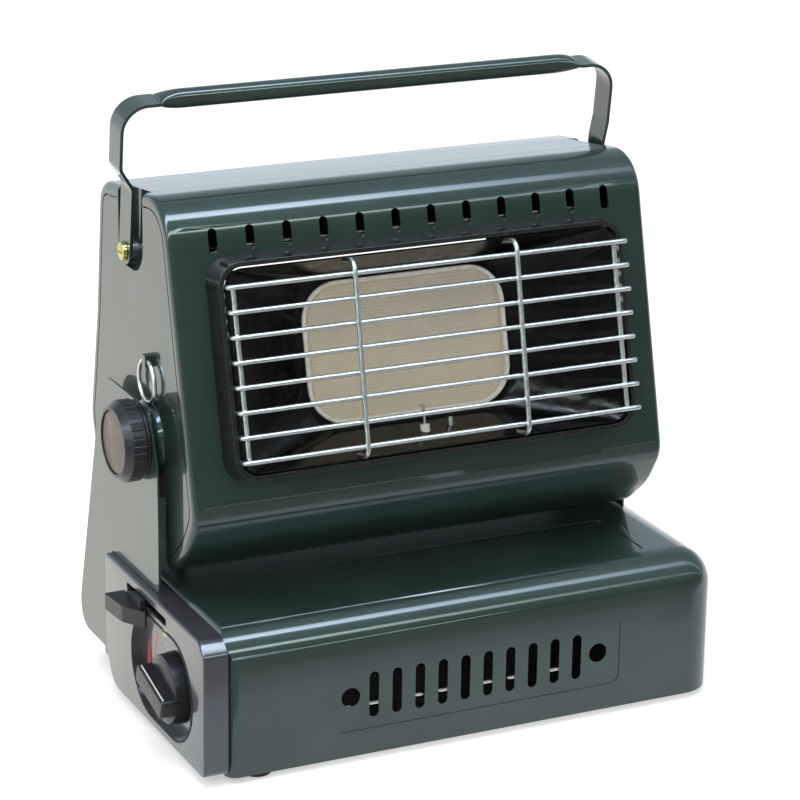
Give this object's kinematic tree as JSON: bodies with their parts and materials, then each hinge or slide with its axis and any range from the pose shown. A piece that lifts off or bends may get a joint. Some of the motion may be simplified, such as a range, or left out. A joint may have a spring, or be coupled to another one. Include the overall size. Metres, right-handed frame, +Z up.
{
  "type": "portable gas heater",
  "caption": "Portable radiant gas heater with a tilting enamelled head, ceramic burner behind a wire guard, folding carry handle and a base that holds a gas cartridge.",
  "frame": {"origin": "centre of the bounding box in plan, on the plane of the rubber feet", "axes": "+X to the viewer's right when facing the burner, +Y towards the back, +Z up"},
  "size_m": [0.3566, 0.2177, 0.3781],
  "materials": {
    "green_enamel": "glossy dark green enamel on steel sheet",
    "black_enamel": "satin black heat-resistant paint",
    "reflector_steel": "dark heat-toned sheet",
    "plated_sheet": "zinc plated sheet",
    "chrome_wire": "bright plated wire",
    "ceramic": "perforated burner ceramic",
    "white_ceramic": "glazed insulator",
    "grey_plastic": "dark grey moulded plastic",
    "black_plastic": "black moulded plastic",
    "white_paint": "white printed line",
    "bronze_disc": "bronze tinted disc",
    "rubber": "black rubber",
    "brass": "turned brass",
    "die_cast": "die cast",
    "green_strap": "dark green enamel on strap",
    "can_paint": "plain lacquered tinplate"
  },
  "bodies": {
    "stand": {"base_shell": "green_enamel", "base_floor_pan": "plated_sheet", "rubber_feet": "rubber", "control_panel": "grey_plastic", "dial_rim": "black_plastic", "gas_valve_body": "die_cast", "piezo_igniter": "black_plastic", "gas_pipe_lower": "brass", "pipe_swivel_lower": "brass", "cartridge_cradle": "plated_sheet", "door_hinge_pin": "plated_sheet", "door_hinge_brackets": "plated_sheet", "left_ear": "green_enamel", "right_ear": "green_enamel", "friction_washers": "rubber", "base_screws": "chrome_wire"},
    "head": {"head_front_shell": "green_enamel", "head_rear_cover": "green_enamel", "head_left_side": "green_enamel", "head_right_side": "green_enamel", "window_frame": "black_enamel", "reflector": "reflector_steel", "plaque_rim": "ceramic", "ceramic_plaque": "ceramic", "burner_box": "plated_sheet", "mixing_tube": "plated_sheet", "jet_holder": "brass", "gas_pipe_upper": "brass", "pipe_swivel_upper": "brass", "heat_shield": "plated_sheet", "igniter_electrode": "chrome_wire", "electrode_ceramic": "white_ceramic", "thermocouple": "chrome_wire", "guard_bars": "chrome_wire", "guard_uprights": "chrome_wire", "guard_cross_wires": "chrome_wire", "left_tilt_bolt": "chrome_wire", "right_tilt_bolt": "chrome_wire", "wire_eye": "chrome_wire", "eye_hanger": "green_enamel", "handle_screws": "brass", "handle_spacers": "plated_sheet", "cover_screws": "chrome_wire"},
    "angle_clamp": {"angle_knob": "black_plastic", "angle_knob_disc": "bronze_disc"},
    "gas_control": {"control_knob": "black_plastic", "knob_pointer": "white_paint", "valve_spindle": "brass"},
    "cartridge_lever": {"lock_lever": "black_plastic"},
    "cartridge": {"gas_cartridge": "can_paint", "cartridge_collar": "can_paint", "cartridge_valve": "brass"},
    "door": {"cartridge_door": "green_enamel", "door_pull": "black_plastic"},
    "handle": {"handle_strap_left": "green_strap", "handle_strap_right": "green_strap", "handle_grip": "green_strap"}
  },
  "joints": [
    {"name": "head_tilt", "type": "hinge", "parent": "stand", "child": "head", "pos_m": [0.00255, 0.00515, 0.1765], "axis": [1, 0, 0], "range_deg": [-18, 14]},
    {"name": "angle_knob_turn", "type": "hinge", "parent": "head", "child": "angle_clamp", "pos_m": [-0.16745, 0.00515, 0.1765], "axis": [1, 0, 0], "range_deg": [-180, 180]},
    {"name": "gas_knob_turn", "type": "hinge", "parent": "stand", "child": "gas_control", "pos_m": [-0.16745, -0.05335, 0.0415], "axis": [1, 0, 0], "range_deg": [0, 120]},
    {"name": "lever_slide", "type": "slide", "parent": "stand", "child": "cartridge_lever", "axis": [0, -1, 0], "range_m": [0, 0.028]},
    {"name": "cartridge_slide", "type": "slide", "parent": "stand", "child": "cartridge", "axis": [-1, 0, 0], "range_m": [0, 0.008]},
    {"name": "door_hinge", "type": "hinge", "parent": "stand", "child": "door", "pos_m": [0.03255, 0.10075, 0.017], "axis": [-1, 0, 0], "range_deg": [0, 85]},
    {"name": "handle_swing", "type": "hinge", "parent": "head", "child": "handle", "pos_m": [0.00255, 0.04115, 0.281], "axis": [1, 0, 0], "range_deg": [-4, 12]}
  ],
  "couplings": [
    {"joint": "cartridge_slide", "follows": "lever_slide", "ratio": 0.2857}
  ]
}
